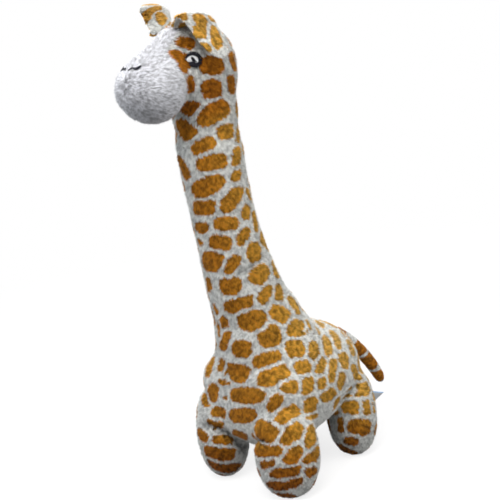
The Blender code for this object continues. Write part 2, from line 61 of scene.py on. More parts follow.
# The camera, set by the photograph's viewing angle
LENS_MM = 72
SENSOR_MM = 36
PICTURE_SIDE = 500
TARGET = Vector((0, -20.45, 170.29)) * MM
DISTANCE = 701.12 * MM
AZIMUTH = math.radians(46.95)
ELEVATION = math.radians(13.38)
ROLL = math.radians(7.16)

# Skins
VOXEL = 3.0 * MM
FINE_VOXEL = 1.1 * MM
STUFFING_PRESSURE = 4.0
STUFFING_FRAMES = 20
SWELL_CAP = 2.6 * MM  # the most that the stuffing moves the cloth
SKIN_RISE = 2.4 * MM  # from the filling's surface to the cloth that carries the pile
SOLE_HEIGHT = 0.8 * MM  # the cloth of the soles lies flat, no lower than this
COAT_NODES = ("torso_filling", "neck_filling", "head_filling")
COVERS = (
    "torso_cover", "leg_cover_front_left", "leg_cover_front_right", "leg_cover_rear_left",
    "leg_cover_rear_right", "neck_cover", "head_cover", "face_panel",
)

# Heights on the body: where the hood starts, where the feet end, and where the neck's coat is cut
# The feet's browner spots and darker pile below FOOT_HEIGHT are painted shade
HOOD_HEIGHT = 0.268  # the hood's spots are browner than the rest from here up,
FOOT_HEIGHT = 0.045  # and so are the feet's from here down
NECK_SPLIT_HEIGHT = 0.195  # the neck's coat is cut in two here, because each part crosses one joint

# Pile
PILE_LENGTH = 2.3 * MM
PILE_WIDTH = 0.50 * MM
PILE_DENSITY = 9.0e6  # hairs on a square metre
PILE_DRAG = 1.3 * MM  # how far a leaning hair carries its colour
COAT_PILE = {
    "Density": PILE_DENSITY, "Length": PILE_LENGTH, "Width": PILE_WIDTH, "Stray": 1.05, "Rise": 0.85,
}
FACE_PILE = {
    "Density": 11e6, "Length": 2.9 * MM, "Width": 0.42 * MM, "Rise": 0.42, "Stray": 0.6, "Waves": 3.0,
    "Grain": 4.6,
}
TRIM_PILE = {"Density": 12e6, "Length": 1.7 * MM, "Width": 0.42 * MM, "Stray": 0.7}
PILE_INPUTS = (  # name, kind and first value
    ("Geometry", "Geometry"), ("Density", "Float", PILE_DENSITY), ("Length", "Float", PILE_LENGTH),
    ("Width", "Float", PILE_WIDTH), ("Rise", "Float", 0.7), ("Stray", "Float", 0.9),
    ("Waves", "Float", 1.0), ("Grain", "Float", 3.2), ("Seed", "Int"),
)
CLUMP_SCALE, SWIRL_SCALE = 420, 110
CLUMP_STRAY, LONE_STRAY = 1.6, 0.55  # of the stray, with a clump and hair by hair
EDGE_CHANCE = (0.38, 0.62)  # where in the slope of a spot's edge a hair turns gold
TONE_SPREAD = 0.035
SHADE_MIDDLE, SHADE_SPREAD = 0.55, 0.38
# How much the painted shade of shut-in places takes off a hair's shade, and the least shade a hair gets
PAINTED_SHADE_STRENGTH, DEEPEST_SHADE = 1.5, -0.9
LENGTH_SHARES, WIDTH_SHARES = (0.75, 1.15), (0.7, 1.2)
BAKE_MARGIN = 0.03

# The pile's colours by tone, and how dark the strands in the shade get
PILE_COLOURS = (
    (0.00, (0.66, 0.67, 0.71)), (0.14, (0.66, 0.67, 0.71)), (0.22, (0.77, 0.78, 0.76)),
    (0.40, (0.77, 0.78, 0.76)), (0.44, (0.745, 0.449, 0.0955)), (0.56, (0.668, 0.344, 0.043)),
    (0.72, (0.516, 0.191, 0.0124)), (1.00, (0.344, 0.086, 0.006)),
)
PILE_DARKEST = ((0.0, 0.54), (0.14, 0.54), (0.22, 0.64), (0.40, 0.64), (0.44, 0.38), (1.0, 0.38))
PILE_LIGHTEST, PILE_BLACK = 1.28, 0.10
ROOT_END, ROOT_LIGHT = 0.7, 0.66  # how far up a hair the painted shade at its root reaches, and how light the root is under it

# Spots, as places in the photograph: x, y, half length, half width and slant in degrees
HEAD_SPOTS = (
    (185, 44, 10, 6.5, 10), (179, 61.5, 14, 8.5, 40), (189, 84.5, 9.5, 6, 80),
    (212.5, 66, 11.5, 10, 0), (212, 89.5, 10.5, 9.5, -10), (190, 108, 11, 8, 15),
    (213, 114, 18, 10.5, -30), (232, 62, 10.5, 4.5, 75), (231, 85, 9.5, 5, 85),
    (224, 52, 6, 3, -75), (236.5, 111, 8.5, 3, 95), (186, 130, 12, 8, 50),
)
NECK_SPOTS = (
    (226, 132, 8.5, 8, 0), (237, 133, 10.5, 4, 95), (204, 146.5, 13, 7.5, -28),
    (212, 163, 15, 9, -8), (236, 158, 11, 4.5, 95), (236, 175, 7.5, 5, 100),
    (184, 168, 14, 5, 68), (207, 187, 17, 9.5, -25), (232, 200, 16, 8, -52),
    (204, 208.5, 12, 8, 0), (245.5, 213, 8, 4.5, 95), (254, 222, 11, 3.5, 80),
    (248, 196, 8, 2.5, 70), (202, 228, 7, 5.5, 20), (226.5, 224, 13, 7.5, -3),
    (243, 237, 10.5, 5.5, -60), (221, 243.5, 11.5, 8.5, 5), (201, 242, 4.5, 3, 60),
    (254, 252.5, 11, 7, 85), (264, 242, 11, 3, 70), (212, 262, 11, 10.5, 0),
    (232.5, 265, 12, 6.5, -52), (260, 275, 11, 9, -60), (274, 271, 10, 4, 70),
    (210, 285, 8, 4.5, 80), (231, 286.5, 10.5, 9.5, 0), (265, 295, 11, 6, -58),
    (278, 294, 10.5, 4.5, 85), (239.5, 305, 16, 7.5, -18), (280, 314, 11.5, 8, 35),
    (294, 306, 11, 4.5, 60), (217, 310, 7, 2.5, 70),
)
TORSO_SPOTS = (
    (252, 321, 14.5, 11, 0), (224.5, 323, 7, 4.5, 70), (270, 337, 12, 11, -20),
    (296, 329, 10, 9, 0), (242, 349.5, 10.5, 8.5, 0), (225, 341, 11, 5, 105),
    (267.5, 359.5, 15, 8, -18), (295.5, 349.5, 10, 9.5, 0), (309, 329, 9, 2.5, 75),
    (316, 331, 7.5, 4, 60), (319, 324.5, 7, 4, 35), (313.5, 351.5, 10, 5.5, 85),
    (326.5, 347, 12, 5, 75), (336, 340, 11, 4, 65), (342, 334, 6.5, 2.5, 60),
    (330, 324.5, 6, 2, 30), (350.5, 348, 9, 4, 65), (343.5, 361, 9, 5.5, 75),
    (332, 371.5, 13.5, 4.5, 95), (320.5, 366, 9.5, 5, 105), (354, 373, 8.5, 5, 75),
    (303, 368, 9, 8, 0), (340, 381, 9.5, 5, 100), (273.5, 376.5, 17, 9.5, -18),
    (237, 373, 12.5, 10.5, 20), (223.5, 365, 7, 4.5, 100), (225, 383, 8, 4, 10),
    (210.5, 367, 11, 4.5, 110), (290, 387.5, 9.5, 7, 0), (307.5, 386, 10.5, 6.5, 105),
    (321.5, 384, 6.5, 5.5, 90), (214, 393, 10, 6, 85), (226, 398, 2.5, 2, 0),
    (247, 396, 17, 8.5, 5), (275, 403.5, 10.5, 6, -50), (328, 395, 9, 5.5, -40),
    (309.5, 406, 10.5, 6.5, 110), (287.5, 415.5, 13.5, 8, -32), (243.5, 415.5, 14, 8, -5),
    (220.5, 412.5, 8, 6.5, 0), (205.5, 400, 7.5, 4, 80), (204.5, 383, 7, 1.8, 95),
    (216, 423, 9, 3.5, 15), (310, 417, 7, 3.5, -40), (215, 330, 11, 2.5, 85),
)
LEG_SPOTS = (
    (241, 434.5, 8.5, 6, 20), (264, 432.5, 13.5, 10.5, 25), (291.5, 435, 14.5, 9, -52),
    (311, 437, 12, 5.5, 95), (203, 436, 8, 5, 45), (222, 440.5, 12, 5, 8),
    (262, 451.5, 15, 6.5, 8), (293, 455.5, 12, 7.5, -55), (313, 456, 11, 5.5, -55),
    (218.5, 454.5, 15, 7, 12), (267.5, 465, 7.5, 5, 0), (286, 473, 17, 6, -5),
    (309, 472, 8, 6, -30), (223, 468, 16, 4.5, 12), (285, 485, 19, 5, -8),
    (345, 396, 6, 3, -20), (362, 390, 8.5, 8, -10), (350.5, 407.5, 11, 7, 0),
    (366, 407.5, 8, 5, 80), (341, 425, 8, 3.5, 85), (336, 412, 5, 3.5, -20),
    (360.5, 427.5, 11.5, 8.5, 0), (351, 441, 7, 5, 0), (372.5, 408, 6, 2, 75),
    (349, 388.5, 6, 2.5, -25),
)
NEAR_EAR_SPOTS = ((201, 26, 14, 8.5, 75), (215, 38, 13, 6, 68), (190, 36, 7, 4, 30), (205, 47, 9, 4, 30))
FAR_EAR_SPOTS = ((146, 25, 13, 6, 72), (161, 18, 11.5, 6, 50), (168, 27, 7, 4, -25))
TAIL_SPOTS = (
    (349, 334, 7.5, 12, 48), (362, 347, 7.5, 12, 48), (370.5, 362, 8, 12, 52),
    (382, 375, 5.5, 12, 48),
)

# How far the folded ear's end is drawn out: from this place, over this many pixels, by this much
EAR_DRAW_FROM = (198, 26)
EAR_DRAW_OVER = 38
EAR_DRAWN = (8, 8)

SPOT_SQUARENESS = 2.9  # 2 would make plain ovals
SPOT_TRIM = 0.1  # taken off each half size, for the hairs that lean over a spot's edge
SPOT_GAP = 1.6 * MM  # between the spots of the sides that the photograph doesn't show
SPOT_LINE = 2.5 * MM  # the pale line that parts two spots wherever they come close
SPOT_EDGE = 0.5 * MM
FILL_SIZES = ((8.6 * MM, 7.0 * MM), (6.6 * MM, 5.2 * MM), (4.4 * MM, 3.2 * MM))
WOBBLE_WAVES = 5
WOBBLE_LENGTHS = (7 * MM, 16 * MM)

# Creases and seams, as lines in the photograph, with their depth and half width; along them the cloth
# sinks and the pile gets painted shade
CREASES = (
    (((240, 273), (252, 265), (262, 258), (268, 252)), 1.6 * MM, 2.0 * MM),
    (((310, 318), (311, 328), (313, 340)), 1.2 * MM, 1.6 * MM),
    (((224, 58), (226, 75), (227, 88), (227, 99)), 0.8 * MM, 1.3 * MM),
    (((205, 424), (215, 427), (226, 433), (236, 441), (245, 449)), 3.6 * MM, 3.0 * MM),
    (((337, 403), (343, 397), (352, 389), (358, 382)), 1.6 * MM, 2.2 * MM),
)

# Fuller places: where they show in the photograph, how much the cloth stands out and how wide
SWELLS = (
    ((212, 377), 5.0 * MM, 15 * MM),
    ((216, 350), 3.0 * MM, 14 * MM),
    ((118, 96), 0.4 * MM, 16 * MM),
)

# The seam between the white face and the spotted coat, in the photograph, from crown to chin
FACE_SEAM = (
    (178, 29), (171, 40), (166, 50), (166, 55), (172, 60), (179, 70), (184, 82), (186, 91),
    (184, 100), (179, 109), (172, 117), (168, 121), (166, 130),
)
FACE_SEAM_LEFT = 60  # how far to the left the outline of the face's place reaches
FACE_TONE, GROUND_TONE = 0.07, 0.31  # places on the scale of the pile's colours

# Embroidery, in the photograph's pixels round the left eye's middle and along the left nostril
EYE_BARE = 6.1 * MM  # no pile stands this near to an eye's middle
NOSTRIL_BARE = 0.9 * MM
EYE_PLACE = (192.6, 60.2)
EYE_RING = (  # angle clockwise from the right, where the black stitches start and where they end
    (182, 7.9, 8.6), (210, 6.5, 8.5), (240, 4.9, 8.3), (270, 4.4, 8.1), (300, 4.4, 8.5),
    (330, 4.8, 8.7), (360, 5.1, 8.9), (390, 5.2, 9.3), (420, 3.2, 8.9), (450, 1.0, 7.6),
    (480, 1.7, 6.9), (502, 3.4, 6.2),
)
EYE_OPENING = (522, 6.4)  # where the white reaches the coat without a black edge
EYE_STITCHES = 92
PUPIL_LINE = ((190.2, 56.9), (195.3, 63.4))
NOSTRIL_LINE = (  # places from its thin inner end outwards, with the stitches' length there
    (129.3, 71.6, 0.6), (131.6, 70.0, 0.9), (133.2, 69.1, 1.2), (134.8, 69.7, 2.2),
    (136.6, 70.1, 2.7), (138.4, 69.5, 2.5), (140.0, 68.3, 1.9), (141.8, 66.9, 0.9),
)
STITCH_STEP = 0.5
THREAD = 0.55 * MM
STITCH_RISE = 1.2 * MM  # from the cloth to the middle of the threads

# Label: a ribbon folded end to end
LABEL_LENGTH = 33 * MM
LABEL_WIDTH = 16 * MM
LABEL_RUN = Vector((0.24, 0.84, -0.38))
LABEL_ACROSS = Vector((-0.70, -0.18, -0.69))
LABEL_LOOP = 1.1 * MM
RIBBON = 0.14 * MM

# Studio
FLOOR_SIZE = 6
FLOOR_GREY = 0.28  # as it lights the toy from below
SHADOW_FADE = (0.15, 0.75)  # how far out the floor's shadows start to fade and are gone
FLOOR_GLOW = (0.80, 1.0)
SKY_STRENGTH = 0.24
LAMP_TARGET = Vector((0, -0.02, 0.17))
LAMPS = (  # name, place, side, power and colour
    ("key_lamp", (0.40, -0.05, 1.15), 0.6, 4.2, (1.0, 0.98, 0.95)),
    ("front_lamp", (0.36, -0.62, 1.02), 0.6, 13.5, (1.0, 0.98, 0.96)),
    ("side_lamp", (1.0, 0.45, 0.50), 0.6, 5.0, (1.0, 0.98, 0.94)),
    ("fill_lamp", (-0.6, -1.0, 0.60), 0.7, 5.5, (0.94, 0.97, 1.0)),
    ("back_lamp", (-0.8, 0.75, 0.50), 0.7, 5.5, (0.97, 0.98, 1.0)),
)


# Camera and places in the photograph

def camera_frame():
    back = Vector((
        math.sin(AZIMUTH) * math.cos(ELEVATION),
        -math.cos(AZIMUTH) * math.cos(ELEVATION),
        math.sin(ELEVATION),
    ))
    right = Vector((math.cos(AZIMUTH), math.sin(AZIMUTH), 0))
    up = back.cross(right)
    rolled_right = right * math.cos(ROLL) - up * math.sin(ROLL)
    rolled_up = right * math.sin(ROLL) + up * math.cos(ROLL)
    return TARGET + back * DISTANCE, rolled_right, rolled_up, back


EYE_POINT, RIGHT, UPWARD, BACKWARD = camera_frame()
FOCAL = LENS_MM / SENSOR_MM * PICTURE_SIDE


def sight_line(x, y):
    """The direction from the camera to a place in the photograph."""
    half = PICTURE_SIDE / 2
    return (RIGHT * (x - half) + UPWARD * (half - y) - BACKWARD * FOCAL).normalized()


def in_picture(points):
    """Where points show in the photograph, as columns x and y."""
    away = points - np.array(EYE_POINT)
    depth = -(away @ np.array(BACKWARD))
    x = PICTURE_SIDE / 2 + FOCAL * (away @ np.array(RIGHT)) / depth
    y = PICTURE_SIDE / 2 - FOCAL * (away @ np.array(UPWARD)) / depth
    return x, y


def make_camera():
    data = bpy.data.cameras.new("camera")
    data.lens = LENS_MM
    data.sensor_width = SENSOR_MM
    data.clip_start, data.clip_end = 0.01, 20
    camera = bpy.data.objects.new("camera", data)
    bpy.context.scene.collection.objects.link(camera)
    turn = Matrix((RIGHT, UPWARD, BACKWARD)).transposed().to_4x4()
    camera.matrix_world = Matrix.Translation(EYE_POINT) @ turn
    bpy.context.scene.camera = camera


# Mesh helpers

def add_object(name, mesh):
    made = bpy.data.objects.new(name, mesh)
    bpy.context.scene.collection.objects.link(made)
    return made


def from_bmesh(name, bm):
    mesh = bpy.data.meshes.new(name)
    bm.to_mesh(mesh)
    bm.free()
    mesh.shade_smooth()
    return add_object(name, mesh)


def settle(thing):
    """Gives the thing the mesh that its modifiers make, and takes them off."""
    depsgraph = bpy.context.evaluated_depsgraph_get()
    depsgraph.update()
    mesh = bpy.data.meshes.new_from_object(thing.evaluated_get(depsgraph))
    thing.modifiers.clear()
    old, thing.data = thing.data, mesh
    bpy.data.meshes.remove(old)
    mesh.shade_smooth()
    return thing


def places(mesh):
    found = np.empty(len(mesh.vertices) * 3, np.float32)
    mesh.vertices.foreach_get("co", found)
    return found.reshape(-1, 3).astype(float)


def put_places(mesh, found):
    mesh.vertices.foreach_set("co", found.astype(np.float32).ravel())
    mesh.update()


def normals(mesh):
    found = np.empty(len(mesh.vertices) * 3, np.float32)
    mesh.vertices.foreach_get("normal", found)
    return found.reshape(-1, 3).astype(float)


def unit(vectors):
    return vectors / np.maximum(np.linalg.norm(vectors, axis=-1, keepdims=True), 1e-12)


def write(mesh, name, values):
    kind = "FLOAT_VECTOR" if values.ndim == 2 else "FLOAT"
    attribute = mesh.attributes.get(name) or mesh.attributes.new(name, kind, "POINT")
    field = "vector" if kind == "FLOAT_VECTOR" else "value"
    attribute.data.foreach_set(field, values.astype(np.float32).ravel())


def read(mesh, name):
    attribute = mesh.attributes[name]
    wide = 3 if attribute.data_type == "FLOAT_VECTOR" else 1
    found = np.empty(len(attribute.data) * wide, np.float32)
    attribute.data.foreach_get("vector" if wide == 3 else "value", found)
    return (found.reshape(-1, 3) if wide == 3 else found).astype(float)


def smooth(thing, times, chosen=None):
    bm = bmesh.new()
    bm.from_mesh(thing.data)
    verts = [v for v in bm.verts if chosen is None or chosen(v.co)]
    for _ in range(times):
        bmesh.ops.smooth_vert(
            bm, verts=verts, factor=0.5, use_axis_x=True, use_axis_y=True, use_axis_z=True
        )
    bm.to_mesh(thing.data)
    bm.free()


def copied_solids(name, nodes):
    bm = bmesh.new()
    for node in nodes:
        bm.from_mesh(frame["nodes"][node].data)
    bmesh.ops.remove_doubles(bm, verts=bm.verts, dist=0.01 * MM)
    return from_bmesh(name, bm)


def remeshed(thing, voxel):
    step = thing.modifiers.new("cloth_grid", "REMESH")
    step.mode = "VOXEL"
    step.voxel_size = voxel
    return settle(thing)


def subdivided(thing):
    step = thing.modifiers.new("finer", "SUBSURF")
    step.levels = step.render_levels = 1
    return settle(thing)


def stuffed(thing, rise):
    """Swells the closed cloth with pressure from its filling, and sets it the given rise above it."""
    start, outward = places(thing.data), normals(thing.data)
    moved = start
    cloth = thing.modifiers.new("stuffing", "CLOTH")
    cloth.settings.quality = 5
    cloth.settings.mass = 0.15
    cloth.settings.use_pressure = True
    cloth.settings.uniform_pressure_force = STUFFING_PRESSURE
    cloth.settings.effector_weights.gravity = 0
    scene = bpy.context.scene
    for step in range(1, STUFFING_FRAMES + 1):
        scene.frame_set(step)
    depsgraph = bpy.context.evaluated_depsgraph_get()
    moved = places(thing.evaluated_get(depsgraph).data)
    thing.modifiers.clear()
    scene.frame_set(1)
    shift = moved - start
    far = np.linalg.norm(shift, axis=1, keepdims=True)
    shift *= np.minimum(1, SWELL_CAP / np.maximum(far, 1e-9))
    mean = (shift * outward).sum(1).mean()
    put_places(thing.data, start + shift + outward * (rise - mean))
    return thing


def shown_at(surface, x, y):
    """The place and normal of a surface at a place in the photograph, or of its edge beside it."""
    aim = sight_line(x, y)
    place, normal, _, _ = surface.ray_cast(EYE_POINT, aim)
    if place is None:
        beside = EYE_POINT + aim * (TARGET - EYE_POINT).dot(aim)
        place, normal, _, _ = surface.find_nearest(beside)
    return place, normal


# Spots

def spot_table(surface, table, wrap=False):
    """Each spot's middle, normal and its two half axes on the surface."""
    found = []
    for x, y, long, wide, slant in table:
        aim = sight_line(x, y)
        place, normal = shown_at(surface, x, y)
        away = (place - EYE_POINT).length
        scale = away / FOCAL
        turned = math.radians(slant)
        run = RIGHT * math.cos(turned) - UPWARD * math.sin(turned)
        rise = RIGHT * math.sin(turned) + UPWARD * math.cos(turned)
        axes = []
        for half, way in ((long, run), (wide, rise)):
            flat = way - aim * (way.dot(normal) / min(aim.dot(normal), -0.35))
            half = max(half - SPOT_TRIM, 0.7 * half)
            axes.append(flat.normalized() * min(flat.length, 1.7) * half * scale)
        found.append((place, normal, axes[0], axes[1], wrap))
    return found


def wobble(points):
    """A slow wave from -1 to 1 over the surface, which makes the spots' edges uneven."""
    rng = np.random.default_rng(3)
    total = np.zeros(len(points))
    for _ in range(WOBBLE_WAVES):
        way = rng.normal(size=3)
        way *= 2 * math.pi / (np.linalg.norm(way) * rng.uniform(*WOBBLE_LENGTHS))
        total += np.sin(points @ way + rng.uniform(0, 2 * math.pi))
    return total / WOBBLE_WAVES


def spot_reach(points, spot):
    """How many times a spot's size each point lies from its middle, and how far that is."""
    place, _, run, rise, _ = spot
    away = points - np.array(place)
    coords = away @ np.linalg.pinv(np.array([run, rise]).T).T
    ratio = (np.abs(coords) ** SPOT_SQUARENESS).sum(1) ** (1 / SPOT_SQUARENESS)
    return ratio, np.linalg.norm(away, axis=1)


def mask_of(points, outward, spots):
    """1 in a spot, 0 on the ground, with a short slope between."""
    nearest, second = np.full(len(points), 1.0), np.full(len(points), 1.0)
    uneven = 1 + 0.09 * wobble(points)
    for spot in spots:
        place, normal, run, rise, wrap = spot
        reach = max(run.length, rise.length) * 1.6 + SPOT_LINE
        near = np.nonzero(((points - np.array(place)) ** 2).sum(1) < reach ** 2)[0]
        if not len(near):
            continue
        ratio, far = spot_reach(points[near], spot)
        beyond = far - far / np.maximum(ratio * uneven[near], 1e-6)
        if not wrap:
            beyond[(outward[near] @ np.array(normal)) < -0.1] = 1.0
        second[near] = np.minimum(second[near], np.maximum(nearest[near], beyond))
        nearest[near] = np.minimum(nearest[near], beyond)
    mask = 0.5 - nearest / SPOT_EDGE
    parted = 0.5 + (second - nearest - SPOT_LINE) / SPOT_EDGE
    return np.clip(np.minimum(mask, parted), 0, 1)


def more_spots(surface, points, outward, spots, barred, seed):
    """Spots for the sides that the photograph doesn't show: the mirrored ones first, then a fill."""
    rng = np.random.default_rng(seed)
    clear = np.full(len(points), np.inf)
    for spot in spots:
        ratio, far = spot_reach(points, spot)
        clear = np.minimum(clear, far * (1 - 1 / np.maximum(ratio, 0.05)))
    clear[barred] = 0
    added = []

    def hidden(index):
        place = Vector(points[index])
        to_camera = (EYE_POINT - place).normalized()
        if to_camera.dot(Vector(outward[index])) < 0.12:
            return True
        return surface.ray_cast(place + to_camera * 2 * MM, to_camera)[0] is not None

    def add(spot):
        nonlocal clear
        added.append(spot)
        ratio, far = spot_reach(points, spot)
        clear = np.minimum(clear, far * (1 - 1 / np.maximum(ratio, 0.05)))

    flip = Vector((-1, 1, 1))
    for spot in list(spots):
        place, normal, run, rise, wrap = spot
        if place.x < 4 * MM:
            continue
        there, normal, run, rise = [Vector(a * b for a, b in zip(v, flip)) for v in spot[:4]]
        index = int(((points - np.array(there)) ** 2).sum(1).argmin())
        size = (run.length + rise.length) / 2
        if clear[index] > size + SPOT_GAP and hidden(index):
            add((there, normal, run, rise, wrap))
    order = rng.permutation(len(points))
    for most, least in FILL_SIZES:
        for index in order:
            size = rng.uniform(least, most)
            if clear[index] < size + SPOT_GAP or not hidden(index):
                continue
            normal = Vector(outward[index])
            side = Vector((rng.normal(), rng.normal(), rng.normal())).cross(normal).normalized()
            run = side * size * rng.uniform(1.0, 1.25)
            rise = normal.cross(side).normalized() * size * rng.uniform(0.8, 1.0)
            add((Vector(points[index]), normal, run, rise, False))
    return added


def spot_depth_and_shade(points, outward):
    """How deep the gold of a spot is: browner on the head; browner on the front and the feet and paler
    on the top and the back, partly the spots' own colour and partly painted light and shade.
    """
    # Browner towards the front and paler facing up: partly the spots' own colour, partly painted light
    brown = 0.58 - 0.10 * outward[:, 1] - 0.08 * outward[:, 2] - 0.9 * (points[:, 1] + 0.03)
    brown += 0.18 * np.clip((points[:, 2] - HOOD_HEIGHT) / (12 * MM), 0, 1)
    # Painted shade: browner towards the feet
    brown += 0.20 * np.clip((FOOT_HEIGHT - points[:, 2]) / (30 * MM), 0, 1)
    return np.clip(brown, 0.46, 0.92)


# Node helpers

def add_node(tree, kind, inputs=None, **settings):
    """A node with its settings, whose inputs get the given values, or links from given sockets."""
    made = tree.nodes.new(kind)
    for key, value in settings.items():
        setattr(made, key, value)
    for key, value in (inputs or {}).items():
        if isinstance(value, bpy.types.NodeSocket):
            tree.links.new(value, made.inputs[key])
        else:
            made.inputs[key].default_value = value
    return made


def new_group(name, kind, inputs, outputs):
    """A node group, and what it is given. Each socket has a name, a kind and perhaps a first value."""
    tree = bpy.data.node_groups.new(name, kind)
    for way, sockets in (("INPUT", inputs), ("OUTPUT", outputs)):
        for label, socket, *start in sockets:
            made = tree.interface.new_socket(label, in_out=way, socket_type="NodeSocket" + socket)
            if start:
                made.default_value = start[0]
    return tree, tree.nodes.new("NodeGroupInput").outputs


def maths_node(tree, operation, a, b=0.0):
    return add_node(tree, "ShaderNodeMath", {0: a, 1: b}, operation=operation).outputs[0]


def range_node(tree, value, start=(0, 1), end=(0, 1), clamp=True):
    """Carries a value over from one range to another."""
    inputs = {
        "Value": value, "From Min": start[0], "From Max": start[1], "To Min": end[0],
        "To Max": end[1],
    }
    return add_node(tree, "ShaderNodeMapRange", inputs, clamp=clamp).outputs[0]


def colour_ramp(tree, stops, value):
    made = add_node(tree, "ShaderNodeValToRGB", {"Fac": value})
    elements = made.color_ramp.elements
    while len(elements) < len(stops):
        elements.new(0.5)
    for element, (at, colour) in zip(elements, stops):
        element.position = at
        element.color = (*colour, 1)
    return made.outputs["Color"]


def colour_mix(tree, share, a, b):
    inputs = {"Factor": share, 6: a, 7: b}
    return add_node(tree, "ShaderNodeMix", inputs, data_type="RGBA").outputs[2]


def light_mix(tree, share, a, b):
    return add_node(tree, "ShaderNodeMixShader", {"Fac": share, 1: a, 2: b}).outputs[0]


# Pile

def one_hair():
    """A blade along +Z, a unit long and wide, whose front faces +X."""
    bm = bmesh.new()
    bmesh.ops.create_circle(bm, cap_ends=True, segments=3, radius=0.5)
    along = bm.verts.layers.float.new("along")
    across = bm.verts.layers.float.new("across")
    for vert, (side, up) in zip(bm.verts, ((-0.5, 0.0), (0.5, 0.0), (0.0, 1.0))):
        vert.co = (0, side, up)
        vert[along], vert[across] = up, side + 0.5
    bm.normal_update()
    if sum(face.normal.x for face in bm.faces) < 0:
        bmesh.ops.reverse_faces(bm, faces=bm.faces)
    blade = from_bmesh("hair_blade", bm)
    blade.hide_render = blade.hide_viewport = True
    return blade


def pile_nodes(blade):
    """Geometry nodes that grow hairs on a skin from its attributes."""
    tree, given = new_group(
        "standing pile", "GeometryNodeTree", PILE_INPUTS, (("Geometry", "Geometry"),)
    )
    new, maths = partial(add_node, tree), partial(maths_node, tree)

    def attribute(name, kind="FLOAT"):
        made = new("GeometryNodeInputNamedAttribute", {"Name": name}, data_type=kind)
        return made.outputs["Attribute"]

    def vectors(operation, inputs):
        return new("ShaderNodeVectorMath", inputs, operation=operation).outputs[0]

    def combined(x, y, z):
        return new("ShaderNodeCombineXYZ", {0: x, 1: y, 2: z}).outputs[0]

    def chance(low, high, seed):
        inputs = {2: low, 3: high, "Seed": seed}
        return new("FunctionNodeRandomValue", inputs, data_type="FLOAT").outputs[1]

    def store(geometry, name, value, kind="FLOAT", domain="POINT"):
        inputs = {"Geometry": geometry, "Name": name, "Value": value}
        made = new("GeometryNodeStoreNamedAttribute", inputs, data_type=kind, domain=domain)
        return made.outputs[0]

    scatter = new("GeometryNodeDistributePointsOnFaces", {
        "Mesh": given["Geometry"],
        "Density": maths("MULTIPLY", given["Density"], attribute("cover")),
        "Seed": given["Seed"],
    }).outputs
    normal = scatter["Normal"]

    # How the hairs lean: with the lay of the pile, in clumps and swirls, and each by itself
    place = new("GeometryNodeInputPosition").outputs[0]
    where = vectors("MULTIPLY", {0: place, 1: combined(1.0, 1.0, given["Waves"])})

    def noise(scale):
        return new("ShaderNodeTexNoise", {"Vector": where, "Scale": scale, "Detail": 1.0}).outputs

    clump, swirl = noise(CLUMP_SCALE), noise(SWIRL_SCALE)
    lone = new(
        "FunctionNodeRandomValue", {0: (-1, -1, -1), 1: (1, 1, 1), "Seed": 3},
        data_type="FLOAT_VECTOR",
    ).outputs[0]
    lean = attribute("lay", "FLOAT_VECTOR")
    for way, share in (
        (normal, given["Rise"]),
        (vectors("SUBTRACT", {0: clump["Color"], 1: (0.5, 0.5, 0.5)}), CLUMP_STRAY),
        (vectors("SUBTRACT", {0: swirl["Color"], 1: (0.5, 0.5, 0.5)}), None),
        (lone, LONE_STRAY),
    ):
        if share is None:
            share = given["Stray"]
        elif isinstance(share, float):
            share = maths("MULTIPLY", given["Stray"], share)
        lean = vectors("ADD", {0: lean, 1: vectors("SCALE", {0: way, "Scale": share})})
    lean = vectors("NORMALIZE", {0: lean})
    turn = new(
        "FunctionNodeAxesToRotation", {0: lean, 1: normal}, primary_axis="Z", secondary_axis="X"
    )

    # Its colour: a tone from the spots, and a shade from the clumps, with painted shade where the place
    # is shut in, along creases and near the floor
    in_spot = maths("GREATER_THAN", attribute("mask"), chance(*EDGE_CHANCE, 5))
    on_ground = maths("SUBTRACT", 1.0, in_spot)
    tone = maths(
        "ADD",
        maths("MULTIPLY", in_spot, attribute("spot_tone")),
        maths("MULTIPLY", on_ground, attribute("ground_tone")),
    )
    tone = maths("ADD", tone, chance(-TONE_SPREAD, TONE_SPREAD, 6))
    grain = maths("MULTIPLY", maths("SUBTRACT", clump["Fac"], 0.5), given["Grain"])
    shade = maths("ADD", maths("ADD", SHADE_MIDDLE, grain), chance(-SHADE_SPREAD, SHADE_SPREAD, 8))
    shade = maths("MAXIMUM", maths("MINIMUM", shade, 1.0), 0.0)
    # Painted shade: the hairs in creases and near the floor are made darker
    painted_shade = maths("MULTIPLY", maths("SUBTRACT", 1.0, attribute("open")), PAINTED_SHADE_STRENGTH)
    shade = maths("MAXIMUM", maths("SUBTRACT", shade, painted_shade), DEEPEST_SHADE)
    points = store(scatter["Points"], "tone", tone)
    points = store(points, "shade", shade)
    points = store(points, "grow", normal, "FLOAT_VECTOR")

    length = maths("MULTIPLY", given["Length"], chance(*LENGTH_SHARES, 9))
    width = maths("MULTIPLY", given["Width"], chance(*WIDTH_SHARES, 10))
    hair = new("GeometryNodeObjectInfo", {"Object": blade})
    plant = new("GeometryNodeInstanceOnPoints", {
        "Points": points,
        "Instance": hair.outputs["Geometry"],
        "Rotation": turn.outputs[0],
        "Scale": combined(length, width, length),
    })
    real = new("GeometryNodeRealizeInstances", {"Geometry": plant.outputs[0]}).outputs[0]

    # Where the hair's colour lies in the baked picture
    u = maths(
        "ADD", maths("MULTIPLY", attribute("tone"), 0.9), maths("MULTIPLY", attribute("across"), 0.02)
    )
    v = maths("MULTIPLY", maths("ADD", attribute("shade"), 1.0), 0.32)
    v = maths("ADD", v, maths("MULTIPLY", attribute("along"), 0.3))
    flat = combined(maths("ADD", u, BAKE_MARGIN), maths("ADD", v, BAKE_MARGIN), 0.0)
    mapped = store(real, "OFBake", flat, "FLOAT2", "CORNER")
    shaded = new(
        "GeometryNodeSetMeshNormal",
        {"Mesh": mapped, "Custom Normal": attribute("grow", "FLOAT_VECTOR")},
        mode="FREE", domain="POINT",
    )
    new("NodeGroupOutput", {"Geometry": shaded.outputs[0]})
    return tree


